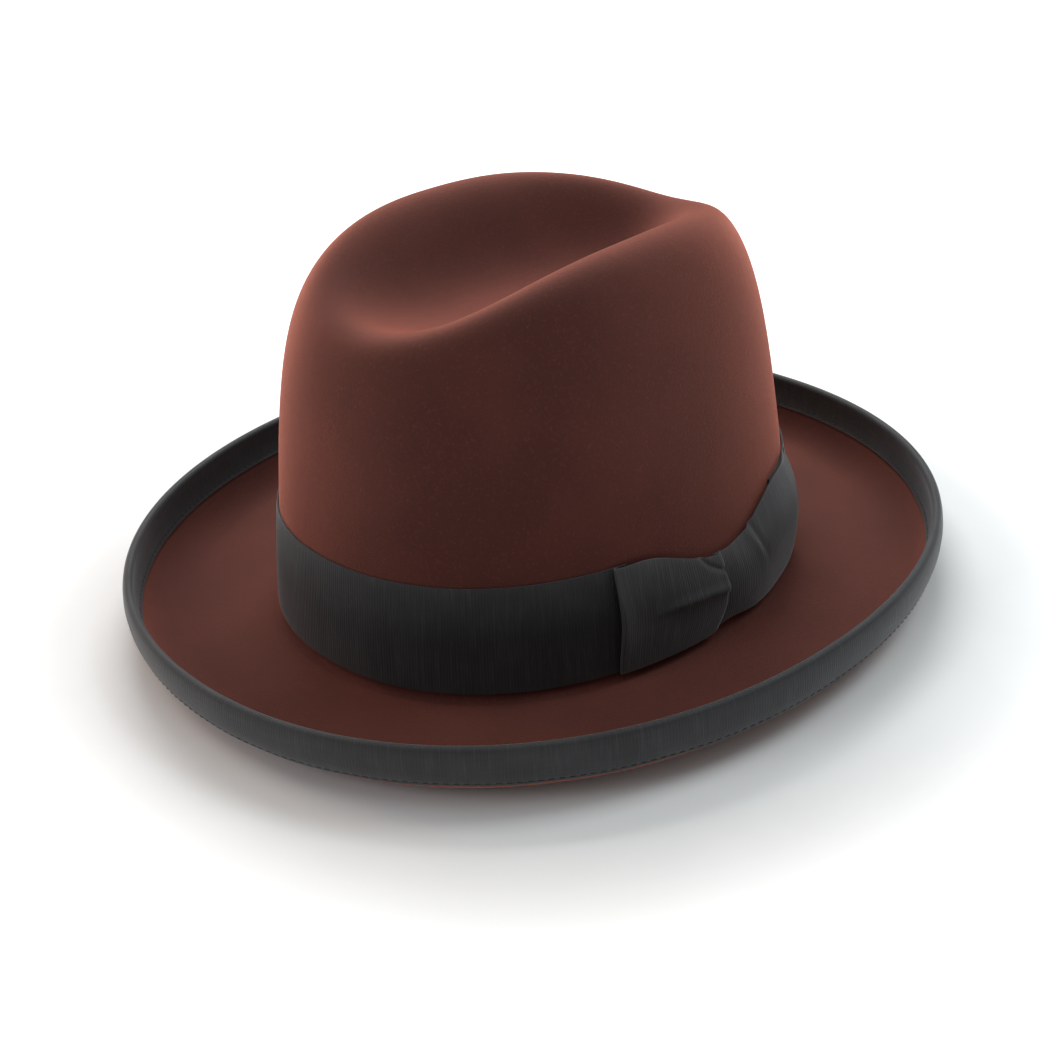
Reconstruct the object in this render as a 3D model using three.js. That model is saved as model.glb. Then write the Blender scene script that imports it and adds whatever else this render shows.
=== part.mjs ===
// A homburg: a stiff felt hat with one dent along the top of its crown and a brim that curls up all round.
// Millimetres, +Z up, -Y to the front, +X to the wearer's left. z = 0 is the flat underside of the brim, which
// the hat stands on, and the Z axis goes up the middle of the head opening.
import * as THREE from "three";
import { mergeVertices } from "three/addons/utils/BufferGeometryUtils.js";

// The felt.
const FELT = 2.2;
const OVAL_HALF_WIDTH = 87; // the crown's foot, outside the felt
const OVAL_HALF_LENGTH = 102;
const OVAL_POWER = 2.14; // 2 would be an ellipse, more is squarer
const BREAK_RADIUS = 3; // the inside corner where the crown meets the brim
const CROWN_FOOT = FELT + BREAK_RADIUS;

// The crown, a tapering dome with a dent pressed along its middle.
const CROWN_HEIGHT = 144.7;
const CROWN_TAPER = 0.166;
const CROWN_TILT = -0.03; // the crown's back stands lower than its front by this share
const POWER_SIDE = 4.17; // how square the dome's shoulders are: sides, front, back
const POWER_FRONT = 4.9;
const POWER_BACK = 6.2;
const DENT_DEPTH = 60; // where its sides would meet
const DENT_FLOOR = 46; // but it levels off towards this depth
const DENT_HALF_WIDTH = 33.7; // halfway along the crown
const DENT_NARROWING = 0.062; // how much of that it loses for each mm towards the back
const DENT_FRONT = -69;
const DENT_BACK = 59;
const DENT_FRONT_FADE = 28;
const DENT_BACK_FADE = 23;

// The brim: flat round the crown, then curled up.
const BRIM_WIDTH = 65.6; // along the felt
const BRIM_FLAT = 33.3;
const CURL_ANGLE = THREE.MathUtils.degToRad(107);
const CURL_POWER = 1.34; // above 1 the curl tightens towards the edge
const SIDE_FULLNESS = 0.013; // the brim reaches further at the sides and less far at the ends
const END_FULLNESS = -0.027;
const SIDE_LIFT = 0.038; // and its edge stands a little higher at the sides

// Ribbon and thread outside.
const GAP = 0.3; // between pieces that touch
const RIBBON = 0.7;
const BAND_WIDTH = 38.1;
const BAND_FOOT = 5.5;
const BINDING = 0.5;
const BINDING_WIDTH = 12;
const THREAD_RADIUS = 0.25;
const STITCH_INSET = 1.6;

// The bow at the wearer's left, in degrees round the hat from there towards the back.
const BOW_FRONT = -22.5;
const BOW_MIDDLE = 3.5;
const BOW_BACK = 40;
const BAND_FRONT_END = -19; // the band's two ends lie under the bow
const BAND_BACK_END = 24;
const KNOT_SPREAD = 5; // the knot reaches this far each side of the bow's middle
const WING_PINCH = 10; // how much narrower the wings are at the knot
const KNOT_SWELL = 0.8; // how far both wings' middles swell at the knot
// How each wing lies: the degrees from the knot over which it reaches its full width, how far it stands off
// the crown beside the knot, the degrees over which it comes down from that, and how far its middle then swells.
const FRONT_WING = { from: BOW_FRONT, to: BOW_MIDDLE - 0.3, widens: 20, stand: 3, settles: 26, swell: 0.8 };
const REAR_WING = { from: BOW_MIDDLE + 0.3, to: BOW_BACK, widens: 22, stand: 3, settles: 16, swell: 3.4 };

// Inside the crown.
const LEATHER = 0.9;
const SWEATBAND_FOOT = 5.6;
const SWEATBAND_WIDTH = 38;
const SWEATBAND_CLEAR = 1.2; // room behind it for the lining's lower edge
const REED_RADIUS = 0.8;
const REED_HEIGHT = 3.6;
const TAPE = 0.3;
const JOIN_GAP = 0.6; // degrees, between the sweatband's ends
const TAB_SPREAD = 4.5;
const SATIN = 0.4;
const LINING_FOOT = 30;
const LINING_TOP = 96;
const LINING_DRAPE = 4; // how far the lining hangs clear of the crown at its top
const PIPING_RADIUS = 0.8;
const SHIELD = 0.3;
const SHIELD_HALF_WIDTH = 42;
const SHIELD_HALF_LENGTH = 54;
const TICKET = { at: 60, spread: 6, foot: 11, top: 23, thickness: 0.2 };

const COLUMNS = 48; // steps round the hat

const felt = new THREE.MeshStandardMaterial({ color: 0x6e3a30, roughness: 0.95 });
const grosgrain = new THREE.MeshStandardMaterial({ color: 0x2b2a2c, roughness: 0.8 });
const thread = new THREE.MeshStandardMaterial({ color: 0x1b1a1c, roughness: 0.7 });
const leather = new THREE.MeshStandardMaterial({ color: 0x5a3a26, roughness: 0.55 });
const plastic = new THREE.MeshStandardMaterial({ color: 0xd8d4c8, roughness: 0.4 });
const satin = new THREE.MeshStandardMaterial({ color: 0xa8876b, roughness: 0.4 });
const paper = new THREE.MeshStandardMaterial({ color: 0xe9e4d6, roughness: 0.9 });
const clear = new THREE.MeshStandardMaterial({ color: 0xf2f2f2, roughness: 0.2 });
clear.opacity = 0.3;
clear.transparent = true;

const degrees = THREE.MathUtils.degToRad;
const signedPower = (value, power) => Math.sign(value) * Math.abs(value) ** power;
const ease = (value) => value * value * (3 - 2 * value);
const fade = (value) => 0.5 * (1 + Math.tanh(value));

// A direction round the hat: the oval's point there for half axes of 1, and its outward normal.
function direction(angle) {
  const x = signedPower(Math.cos(angle), 2 / OVAL_POWER);
  const y = signedPower(Math.sin(angle), 2 / OVAL_POWER);
  const normal = new THREE.Vector2(
    signedPower(x, OVAL_POWER - 1) / OVAL_HALF_WIDTH,
    signedPower(y, OVAL_POWER - 1) / OVAL_HALF_LENGTH,
  ).normalize();
  return { x, y, normal };
}

// The dome's shoulders grow squarer from its sides to its front and back.
function shoulderPower(y) {
  const end = y > 0 ? POWER_BACK : POWER_FRONT;
  return POWER_SIDE + (end - POWER_SIDE) * y * y;
}

// A point outside the crown's wall at a height, `out` from the felt's outer face. Below its foot the wall is
// upright.
function wall(angle, height, out = 0) {
  const { x, y, normal } = direction(angle);
  const share = Math.max(height - CROWN_FOOT, 0) / CROWN_HEIGHT;
  const power = shoulderPower(Math.sin(angle));
  const reach = (1 - share ** power) ** (1 / power) * (1 - CROWN_TAPER * share);
  return new THREE.Vector3(
    OVAL_HALF_WIDTH * reach * x + out * normal.x,
    OVAL_HALF_LENGTH * reach * y + out * normal.y,
    height,
  );
}

// How far the dent presses the dome down over a point.
function dent(x, y) {
  const width = DENT_HALF_WIDTH - DENT_NARROWING * y;
  const along = fade((y - DENT_FRONT) / DENT_FRONT_FADE) * fade((DENT_BACK - y) / DENT_BACK_FADE);
  const pressed = DENT_DEPTH * along * Math.exp(-((x / width) ** 2));
  return pressed / (1 + (pressed / DENT_FLOOR) ** 4) ** 0.25;
}

// The crown's outer face: `lift` goes from 0 at its foot to 1 at the top.
function crown(angle, lift) {
  const { x, y } = direction(angle);
  const power = shoulderPower(Math.sin(angle));
  const turn = (Math.PI / 2) * ease(lift);
  const share = Math.sin(turn) ** (2 / power);
  const reach = lift === 1 ? 0 : Math.cos(turn) ** (2 / power) * (1 - CROWN_TAPER * share);
  const point = new THREE.Vector3(OVAL_HALF_WIDTH * reach * x, OVAL_HALF_LENGTH * reach * y, 0);
  const domed = CROWN_HEIGHT * share * (1 + (CROWN_TILT * point.y) / OVAL_HALF_LENGTH);
  point.z = CROWN_FOOT + domed - dent(point.x, point.y) * share ** 2;
  return point;
}

// The crown's inner face lies the felt's thickness in from its outer face.
function crownInside(angle, lift) {
  const step = 0.002;
  const at = Math.min(lift, 1 - step);
  if (lift === 1) return crown(angle, 1).sub(new THREE.Vector3(0, 0, FELT));
  const round = crown(angle + step, at).sub(crown(angle - step, at));
  const up = crown(angle, at + step).sub(crown(angle, Math.max(at - step, 0)));
  return crown(angle, lift).addScaledVector(round.cross(up).normalize(), -FELT);
}

// The brim's section: the way out, the height and the slope after going `along` the felt's upper face.
function brimSection(along) {
  const steps = 40;
  const curled = Math.max(along - BRIM_FLAT, 0);
  const slopeAt = (length) => CURL_ANGLE * (length / (BRIM_WIDTH - BRIM_FLAT)) ** CURL_POWER;
  let out = Math.min(along, BRIM_FLAT);
  let height = FELT;
  for (let i = 0; i < steps; i++) {
    const slope = slopeAt(((i + 0.5) * curled) / steps);
    out += (Math.cos(slope) * curled) / steps;
    height += (Math.sin(slope) * curled) / steps;
  }
  return { out, height, slope: slopeAt(curled) };
}

// A point on or near the brim, `above` its upper face.
function brim(angle, along, above = 0) {
  const { x, y, normal } = direction(angle);
  const { out, height, slope } = brimSection(along);
  const fullness = 1 + SIDE_FULLNESS * normal.x ** 2 + END_FULLNESS * normal.y ** 2;
  const reach = out * fullness - above * Math.sin(slope);
  const lifted = (height - FELT) * (1 + SIDE_LIFT * Math.cos(2 * angle));
  return new THREE.Vector3(
    OVAL_HALF_WIDTH * x + reach * normal.x,
    OVAL_HALF_LENGTH * y + reach * normal.y,
    FELT + lifted + above * Math.cos(slope),
  );
}

// The rounded corner between crown and brim; `turn` goes from the crown (0) to the brim (1).
function breakCorner(angle, turn, above = 0) {
  const { x, y, normal } = direction(angle);
  const radius = BREAK_RADIUS - above;
  const reach = BREAK_RADIUS - radius * Math.cos((turn * Math.PI) / 2);
  return new THREE.Vector3(
    OVAL_HALF_WIDTH * x + reach * normal.x,
    OVAL_HALF_LENGTH * y + reach * normal.y,
    FELT + BREAK_RADIUS - radius * Math.sin((turn * Math.PI) / 2),
  );
}

function evenly(from, to, steps) {
  return Array.from({ length: steps + 1 }, (_, i) => from + ((to - from) * i) / steps);
}
const allRound = evenly(0, 2 * Math.PI, COLUMNS).slice(0, -1);

// One mesh from a list of triangle corners.
function solidFrom(corners) {
  const geometry = new THREE.BufferGeometry();
  geometry.setAttribute("position", new THREE.Float32BufferAttribute(corners, 3));
  const merged = mergeVertices(geometry, 1e-4);
  merged.computeVertexNormals();
  return merged;
}

// A closed sheet between two faces of points, front[row][column] and back[row][column]. Seen from in front, rows
// go up and columns go right. A wrapped sheet closes on itself along its columns, and a domed one starts at a
// single point.
function sheet(front, back, { wrapped = false, domed = false } = {}) {
  const corners = [];
  const triangle = (a, b, c) => {
    if (a.equals(b) || b.equals(c) || c.equals(a)) return;
    corners.push(...a, ...b, ...c);
  };
  const quad = (a, b, c, d) => {
    triangle(a, b, c);
    triangle(a, c, d);
  };
  const rows = front.length;
  const columns = front[0].length;
  const last = wrapped ? columns : columns - 1;
  for (let j = 0; j < last; j++) {
    const k = (j + 1) % columns;
    for (let i = 0; i < rows - 1; i++) {
      quad(front[i][j], front[i][k], front[i + 1][k], front[i + 1][j]);
      quad(back[i][j], back[i + 1][j], back[i + 1][k], back[i][k]);
    }
    if (!domed) quad(front[0][k], front[0][j], back[0][j], back[0][k]);
    quad(front[rows - 1][j], front[rows - 1][k], back[rows - 1][k], back[rows - 1][j]);
  }
  if (!wrapped) {
    for (let i = 0; i < rows - 1; i++) {
      quad(front[i][0], front[i + 1][0], back[i + 1][0], back[i][0]);
      quad(front[i + 1][last], front[i][last], back[i][last], back[i + 1][last]);
    }
  }
  return solidFrom(corners);
}

// A sheet whose two faces are given by one function of the row, the angle and the face (0 front, 1 back).
function shell(rows, angles, place, options) {
  const face = (side) => rows.map((row) => angles.map((angle) => place(row, angle, side)));
  return sheet(face(0), face(1), options);
}

// A round thread or cord that runs all round the hat: `centre` gives its middle at an angle.
function ring(radius, centre, sides = 5) {
  const turns = evenly(0, 2 * Math.PI, sides).slice(0, -1);
  const corners = [];
  const at = (turn, angle) => {
    const { normal } = direction(angle);
    const point = centre(angle);
    const out = radius * Math.cos(turn);
    return point.add(new THREE.Vector3(out * normal.x, out * normal.y, radius * Math.sin(turn)));
  };
  const grid = turns.map((turn) => allRound.map((angle) => at(turn, angle)));
  for (let i = 0; i < sides; i++) {
    for (let j = 0; j < COLUMNS; j++) {
      const a = grid[i][j];
      const b = grid[i][(j + 1) % COLUMNS];
      const c = grid[(i + 1) % sides][(j + 1) % COLUMNS];
      const d = grid[(i + 1) % sides][j];
      corners.push(...a, ...b, ...c, ...a, ...c, ...d);
    }
  }
  return solidFrom(corners);
}

// One felt makes both crown and brim. It is open below, where the head goes in.
function feltBody() {
  const rows = [
    ...evenly(1, 0, 18).map((lift) => ({ part: crown, inside: crownInside, value: lift })),
    ...evenly(0.34, 1, 2).map((turn) => ({ part: breakCorner, value: turn })),
    ...[14, 24, BRIM_FLAT].map((along) => ({ part: brim, value: along })),
    ...evenly(BRIM_FLAT + 5, BRIM_WIDTH, 7).map((along) => ({ part: brim, value: along })),
  ];
  const place = ({ part, inside, value }, angle, side) => {
    if (!side) return part(angle, value);
    return inside ? inside(angle, value) : part(angle, value, -FELT);
  };
  // Rows go down from the top here, so the columns run the other way round.
  return shell(rows, [...allRound].reverse(), place, { wrapped: true, domed: true });
}

// A ribbon folded over the brim's edge, the same width on both faces.
function brimBinding() {
  const start = BRIM_WIDTH - BINDING_WIDTH;
  const lengths = evenly(start, BRIM_WIDTH, 3);
  const rows = [
    ...lengths.map((along) => ({ along, below: true })),
    ...[...lengths].reverse().map((along) => ({ along, below: false })),
  ];
  const place = ({ along, below }, angle, side) => {
    const out = side ? GAP : GAP + BINDING;
    const over = along === BRIM_WIDTH ? out : 0;
    return tipPast(angle, along, below ? -FELT - out : out, over);
  };
  return shell(rows, allRound, place, { wrapped: true });
}

// A point near the brim's section, carried on past it by `over` in the felt's own direction there.
function tipPast(angle, along, above, over) {
  const point = brim(angle, along, above);
  const { normal } = direction(angle);
  const { slope } = brimSection(along);
  const out = over * Math.cos(slope);
  return point.add(new THREE.Vector3(out * normal.x, out * normal.y, over * Math.sin(slope)));
}

// The angles of the hat's columns between two ends, with the ends themselves, so that neighbours' facets run
// together.
function arc(from, to, ends = 1.5) {
  const inner = allRound
    .flatMap((angle) => [angle - 2 * Math.PI, angle, angle + 2 * Math.PI])
    .filter((angle) => angle > degrees(from + ends) && angle < degrees(to - ends))
    .sort((a, b) => a - b);
  return [degrees(from), ...inner, degrees(to)];
}

// A strip that hugs the crown between two heights, from `inner` to `inner + thickness` outside the felt.
function strip(heights, angles, inner, thickness, options) {
  const place = (height, angle, side) => wall(angle, height, side ? inner : inner + thickness);
  return shell(heights, angles, place, options);
}

// The band is one length of ribbon whose ends meet under the bow.
function bandRibbon() {
  const heights = evenly(BAND_FOOT, BAND_FOOT + BAND_WIDTH, 3);
  return strip(heights, arc(BAND_BACK_END, BAND_FRONT_END + 360), GAP, RIBBON);
}

// A narrow underlay holds the band's ends together and carries the bow.
function bowBacking() {
  const heights = evenly(BAND_FOOT + 1, BAND_FOOT + BAND_WIDTH - WING_PINCH - 3, 2);
  return strip(heights, arc(BAND_FRONT_END + 1, BAND_BACK_END - 1), GAP, RIBBON);
}

// How close an angle is to the bow's middle: 1 there, easing to 0 `reach` degrees away.
function nearKnot(angle, reach) {
  const away = Math.abs(THREE.MathUtils.radToDeg(angle) - BOW_MIDDLE) / reach;
  return ease(Math.max(1 - away, 0));
}

// A wing of the bow is the band's width at its free end. It is drawn in from above and stands proud at the
// knot.
function bowWing({ from, to, widens, stand, settles, swell }) {
  const under = GAP + RIBBON + GAP;
  const place = (share, angle, side) => {
    const width = BAND_WIDTH - WING_PINCH * nearKnot(angle, widens);
    const held = nearKnot(angle, settles);
    const swollen = swell + (KNOT_SWELL - swell) * held;
    const puff = Math.sin(Math.PI * share) * swollen + held * stand;
    return wall(angle, BAND_FOOT + width * share, under + puff + (side ? 0 : RIBBON));
  };
  return shell(evenly(0, 1, 6), arc(from, to), place);
}

// The knot is a short loop of ribbon under the wings' inner ends.
function bowKnot() {
  const place = (share, angle, side) => {
    const height = BAND_FOOT + 1 + (BAND_WIDTH - WING_PINCH - 3) * share;
    const puff = 0.8 * nearKnot(angle, KNOT_SPREAD);
    return wall(angle, height, 2 * GAP + RIBBON + puff + (side ? 0 : RIBBON));
  };
  return shell(evenly(0, 1, 3), evenly(degrees(-1), degrees(8), 4), place);
}

// A row of stitches holds the binding's two edges through the felt, as one thread on each face.
function bindingThread(above) {
  const along = BRIM_WIDTH - BINDING_WIDTH + STITCH_INSET;
  return ring(THREAD_RADIUS, (angle) => brim(angle, along, above));
}

const leatherFace = FELT + SWEATBAND_CLEAR; // in from the felt's outer face
const leatherInner = leatherFace + LEATHER;
const backEnds = [90 + JOIN_GAP, 450 - JOIN_GAP]; // the sweatband's ends meet at the hat's back

function sweatband() {
  const heights = evenly(SWEATBAND_FOOT, SWEATBAND_FOOT + SWEATBAND_WIDTH, 2);
  return strip(heights, arc(...backEnds), -leatherInner, LEATHER);
}

// A leather tab covers the sweatband's join.
function joinTab() {
  const heights = [SWEATBAND_FOOT + 2, SWEATBAND_FOOT + SWEATBAND_WIDTH - 1];
  return strip(heights, arc(90 - TAB_SPREAD, 90 + TAB_SPREAD), -leatherInner - GAP - 0.7, 0.7);
}

const reedCentre = (angle) => wall(angle, REED_HEIGHT, -leatherFace - LEATHER / 2);

// The reed is a springy plastic rod inside the sweatband's lower edge, its ends a little apart at the back.
function sweatbandReed() {
  const route = new THREE.CatmullRomCurve3(arc(backEnds[0] + 0.4, backEnds[1] - 0.4).map(reedCentre));
  const section = new THREE.Shape().absarc(0, 0, REED_RADIUS, 0, 2 * Math.PI);
  const along = { steps: 60, curveSegments: 3, extrudePath: route, bevelEnabled: false };
  return new THREE.ExtrudeGeometry(section, along);
}

// The tape folds under the reed, and both its edges are sewn to the sweatband's foot.
function reedTape() {
  const inside = REED_RADIUS + GAP;
  const rise = SWEATBAND_FOOT - GAP - REED_HEIGHT;
  const turns = evenly(0, Math.PI, 4);
  const under = turns.map((turn) => ({ turn, up: 0 }));
  const rows = [{ turn: 0, up: rise }, ...under, { turn: Math.PI, up: rise }];
  const place = ({ turn, up }, angle, side) => {
    const radius = side ? inside : inside + TAPE;
    const { normal } = direction(angle);
    const out = radius * Math.cos(turn);
    const down = radius * Math.sin(turn) - up;
    return reedCentre(angle).add(new THREE.Vector3(out * normal.x, out * normal.y, -down));
  };
  return shell(rows, [...allRound].reverse(), place, { wrapped: true });
}

function sweatbandThread() {
  const inner = -leatherInner - GAP - THREAD_RADIUS;
  return ring(THREAD_RADIUS, (angle) => wall(angle, SWEATBAND_FOOT + 1, inner));
}

// A flat bow of narrow ribbon sits at the foot of the tab.
function sweatbandBow() {
  const shape = new THREE.Shape();
  shape.moveTo(0, 1.2);
  shape.bezierCurveTo(3, 4.5, 9, 5, 10, 3.5);
  shape.lineTo(10, -3.5);
  shape.bezierCurveTo(9, -5, 3, -4.5, 0, -1.2);
  shape.bezierCurveTo(-3, -4.5, -9, -5, -10, -3.5);
  shape.lineTo(-10, 3.5);
  shape.bezierCurveTo(-9, 5, -3, 4.5, 0, 1.2);
  const bow = new THREE.ExtrudeGeometry(shape, { depth: 0.8, curveSegments: 5, bevelEnabled: false });
  return bow.rotateX(Math.PI / 2);
}

// The lining's side hangs from the tip and is tucked behind the sweatband.
const sweatbandTop = SWEATBAND_FOOT + SWEATBAND_WIDTH;
const liningOut = (height) => {
  const share = Math.max(height - sweatbandTop - 2, 0) / (LINING_TOP - sweatbandTop - 2);
  return -FELT - GAP - SATIN - LINING_DRAPE * ease(share);
};

function liningSide() {
  const heights = [LINING_FOOT, ...evenly(sweatbandTop + 2, LINING_TOP, 3)];
  const place = (height, angle, side) => wall(angle, height, liningOut(height) + (side ? 0 : SATIN));
  return shell(heights, allRound, place, { wrapped: true });
}

// The tip is the oval of satin over the head, sagging a little in its middle.
function liningTip() {
  const sag = 3;
  const place = (share, angle, side) => {
    const rim = wall(angle, LINING_TOP, liningOut(LINING_TOP) + SATIN);
    const height = LINING_TOP + GAP - sag * (1 - share * share) + (side ? 0 : SATIN);
    return new THREE.Vector3(rim.x * share, rim.y * share, height);
  };
  return shell(evenly(0, 1, 3), [...allRound].reverse(), place, { wrapped: true, domed: true });
}

function liningPiping() {
  const inner = liningOut(LINING_TOP) - GAP - PIPING_RADIUS;
  return ring(PIPING_RADIUS, (angle) => wall(angle, LINING_TOP - PIPING_RADIUS - 0.4, inner));
}

// A clear oval sheet shields the tip from hair.
function tipShield() {
  const shape = new THREE.Shape().absellipse(0, 0, SHIELD_HALF_WIDTH, SHIELD_HALF_LENGTH, 0, 2 * Math.PI);
  return new THREE.ExtrudeGeometry(shape, { depth: SHIELD, curveSegments: 12, bevelEnabled: false });
}

// A blank size ticket, hidden behind the sweatband.
function sizeTicket() {
  const { at, spread, foot, top, thickness } = TICKET;
  return strip([foot, top], arc(at - spread, at + spread), -FELT - 0.7, thickness);
}

const hat = new THREE.Group();

function add(name, geometry, material) {
  const mesh = new THREE.Mesh(geometry, material);
  mesh.name = name;
  hat.add(mesh);
  return mesh;
}

add("felt_body", feltBody(), felt);
add("brim_binding", brimBinding(), grosgrain);
add("binding_needle_thread", bindingThread(-FELT - 2 * GAP - BINDING - THREAD_RADIUS), thread);
add("binding_bobbin_thread", bindingThread(2 * GAP + BINDING + THREAD_RADIUS), thread);
add("band_ribbon", bandRibbon(), grosgrain);
add("bow_backing", bowBacking(), grosgrain);
add("bow_front_wing", bowWing(FRONT_WING), grosgrain);
add("bow_rear_wing", bowWing(REAR_WING), grosgrain);
add("bow_knot", bowKnot(), grosgrain);
add("sweatband", sweatband(), leather);
add("sweatband_join_tab", joinTab(), leather);
add("sweatband_reed", sweatbandReed(), plastic);
add("reed_tape", reedTape(), grosgrain);
add("sweatband_thread", sweatbandThread(), thread);
const innerBow = add("sweatband_bow", sweatbandBow(), grosgrain);
const tabFace = wall(degrees(90), SWEATBAND_FOOT + 14, -leatherInner - GAP - 0.7);
innerBow.position.set(0, tabFace.y - 2 * GAP, SWEATBAND_FOOT + 8);
add("lining_side", liningSide(), satin);
add("lining_tip", liningTip(), satin);
add("lining_piping", liningPiping(), satin);
const shield = add("tip_shield", tipShield(), clear);
shield.position.z = LINING_TOP - 4 - SHIELD;
add("size_ticket", sizeTicket(), paper);

export default hat;
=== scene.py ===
"""A homburg: a stiff felt hat with one dent along its crown, a curled brim bound in ribbon, a ribbon band
with a flat bow, and a leather sweatband and satin lining inside.

Metres, +Z up, -Y to the front, +X to the wearer's left.
"""

import math

import bpy
import numpy as np
from mathutils import Matrix, Vector


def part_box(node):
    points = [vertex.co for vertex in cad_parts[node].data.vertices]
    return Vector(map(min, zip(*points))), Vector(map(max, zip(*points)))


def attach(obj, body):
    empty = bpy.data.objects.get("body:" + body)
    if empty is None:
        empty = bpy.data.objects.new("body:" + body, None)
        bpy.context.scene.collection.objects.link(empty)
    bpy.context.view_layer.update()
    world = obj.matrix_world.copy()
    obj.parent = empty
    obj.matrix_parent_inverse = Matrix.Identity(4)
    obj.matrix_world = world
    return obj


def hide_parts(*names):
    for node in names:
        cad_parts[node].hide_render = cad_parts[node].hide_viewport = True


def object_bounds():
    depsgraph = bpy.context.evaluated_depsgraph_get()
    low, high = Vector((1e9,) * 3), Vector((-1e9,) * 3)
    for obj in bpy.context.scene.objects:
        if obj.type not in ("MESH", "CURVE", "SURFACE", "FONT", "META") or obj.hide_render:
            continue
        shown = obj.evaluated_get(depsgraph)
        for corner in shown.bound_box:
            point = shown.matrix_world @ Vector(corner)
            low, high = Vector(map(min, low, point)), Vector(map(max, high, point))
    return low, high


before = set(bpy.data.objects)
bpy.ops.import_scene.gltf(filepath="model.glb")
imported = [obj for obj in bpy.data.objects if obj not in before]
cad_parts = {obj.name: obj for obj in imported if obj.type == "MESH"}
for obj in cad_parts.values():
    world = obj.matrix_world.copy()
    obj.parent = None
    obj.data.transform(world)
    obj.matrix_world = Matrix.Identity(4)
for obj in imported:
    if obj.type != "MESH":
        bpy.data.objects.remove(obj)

cad_low, cad_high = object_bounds()
MM = 0.001

# What the frame holds: the band, sweatband and lining say where the crown's wall is.
band_low, band_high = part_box("band_ribbon")
sweat_low, sweat_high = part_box("sweatband")
lining_low, lining_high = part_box("lining_side")
shield_low, shield_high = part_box("tip_shield")
inner_bow_low, inner_bow_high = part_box("sweatband_bow")
ticket_low, ticket_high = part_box("size_ticket")
GAP = 0.3 * MM
RIBBON = 0.7 * MM
FELT = 2.2 * MM
HALF_WIDTH = -band_low.x - GAP - RIBBON
HALF_LENGTH = band_high.y - GAP - RIBBON
OVAL_POWER = 2.14
BREAK_RADIUS = 3 * MM
CROWN_FOOT = FELT + BREAK_RADIUS

# The crown, a tapering dome with a dent pressed along its middle.
CROWN_HEIGHT = 144.7 * MM
CROWN_TAPER = 0.166
CROWN_TILT = -0.03
POWER_SIDE = 4.17
POWER_FRONT = 4.9
POWER_BACK = 6.2
DENT_DEPTH = 60 * MM
DENT_FLOOR = 46 * MM
DENT_HALF_WIDTH = 33.7 * MM
DENT_NARROWING = 0.062
DENT_FRONT = -69 * MM
DENT_BACK = 59 * MM
DENT_FRONT_FADE = 28 * MM
DENT_BACK_FADE = 23 * MM

# The brim.
BRIM_WIDTH = 65.6 * MM
BRIM_FLAT = 33.3 * MM
CURL_ANGLE = math.radians(107)
CURL_POWER = 1.34
SIDE_FULLNESS = 0.013
END_FULLNESS = -0.027
SIDE_LIFT = 0.038

# Ribbon and stitches.
RIB_PITCH = 1.05 * MM
RIB_HEIGHT = 0.11 * MM
BINDING_WIDTH = 12 * MM
BINDING_THICK = 0.5 * MM
BINDING_LIE = 0.12 * MM
STITCH_INSET = 1.5 * MM
STITCH_PITCH = 3.2 * MM
STITCH_SHARE = 0.7
STITCH_RISE = 0.1 * MM
THREAD_RADIUS = 0.17 * MM

# The band.
BAND_FOOT, BAND_TOP = band_low.z, band_high.z
BAND_WIDTH = BAND_TOP - BAND_FOOT
BAND_THICK = 0.5 * MM

# The bow's places round the hat, in degrees from the wearer's left towards the back.
BAND_FRONT_END, BAND_BACK_END = -19, 24
BOW_MIDDLE = 3.5
KNOT_FRONT, KNOT_BACK = -1, 8
FRONT_START, FRONT_END, FRONT_UNDER_END, FRONT_WIDENS = 0.0, -22.0, -12.5, 20
REAR_START, REAR_END, REAR_UNDER_END, REAR_WIDENS = 0.8, 39.4, 29.0, 22
SIDE_DEGREE = HALF_WIDTH * math.pi / 180

# The bow's sizes.
WING_THICK = 0.5 * MM
WING_PINCH = 10 * MM
FOLD_LOW, FOLD_HIGH = 1.45 * MM, 2.45 * MM
FOLD_SET_BACK = 2.4 * MM
UNDER_DROP = 1.8 * MM
KNOT_THICK, KNOT_OUT = 0.3 * MM, 1.3 * MM
BACKING_THICK, BACKING_OUT = 0.4 * MM, 0.65 * MM

# Inside the crown.
BACK = math.pi / 2
LEATHER = 0.9 * MM
LEATHER_SET_IN = 1.2 * MM
LEATHER_OUT = -FELT - LEATHER_SET_IN - LEATHER / 2
JOIN_GAP = math.radians(0.6)
TAB_SPREAD = math.radians(4.5)
TAB_THICK = 0.7 * MM
REED_HEIGHT = 3.6 * MM
REED_RADIUS = 0.8 * MM
TAPE_RADIUS, TAPE_THICK = 1.25 * MM, 0.25 * MM
SATIN = 0.35 * MM
LINING_LEAN = 4 * MM
TIP_SAG = 3 * MM
PIPING_RADIUS = 0.7 * MM
SHIELD_THICK = 0.3 * MM
TICKET_THICK = 0.2 * MM
TICKET_ENDS = (54, 66)

# How fine the meshes are.
FELT_COLUMNS = 240
ROUTE_STEPS = 4001
BINDING_RIB_COLUMNS, BAND_RIB_COLUMNS, WING_RIB_COLUMNS = 3, 4, 5
BAND_ROWS, WING_ROWS = 13, 34
CREASE_ANGLE = math.radians(50)
WELD_DISTANCE = 0.005 * MM

# Camera, lights and floor.
AZIMUTH, ELEVATION, ROLL = math.radians(47.94), math.radians(29.14), math.radians(-3.465)
DISTANCE = 595.6 * MM
AIM_RIGHT, AIM_HEIGHT = -3.06 * MM, 12.8 * MM
SENSOR_WIDTH = 36
LENS_PER_SENSOR = 1.468
LIGHTS_AIM_HEIGHT = 70 * MM
FLOOR_REACH = 6.0
FLOOR_GAP = 0.05 * MM
WHITE = (1, 1, 1)
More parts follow.
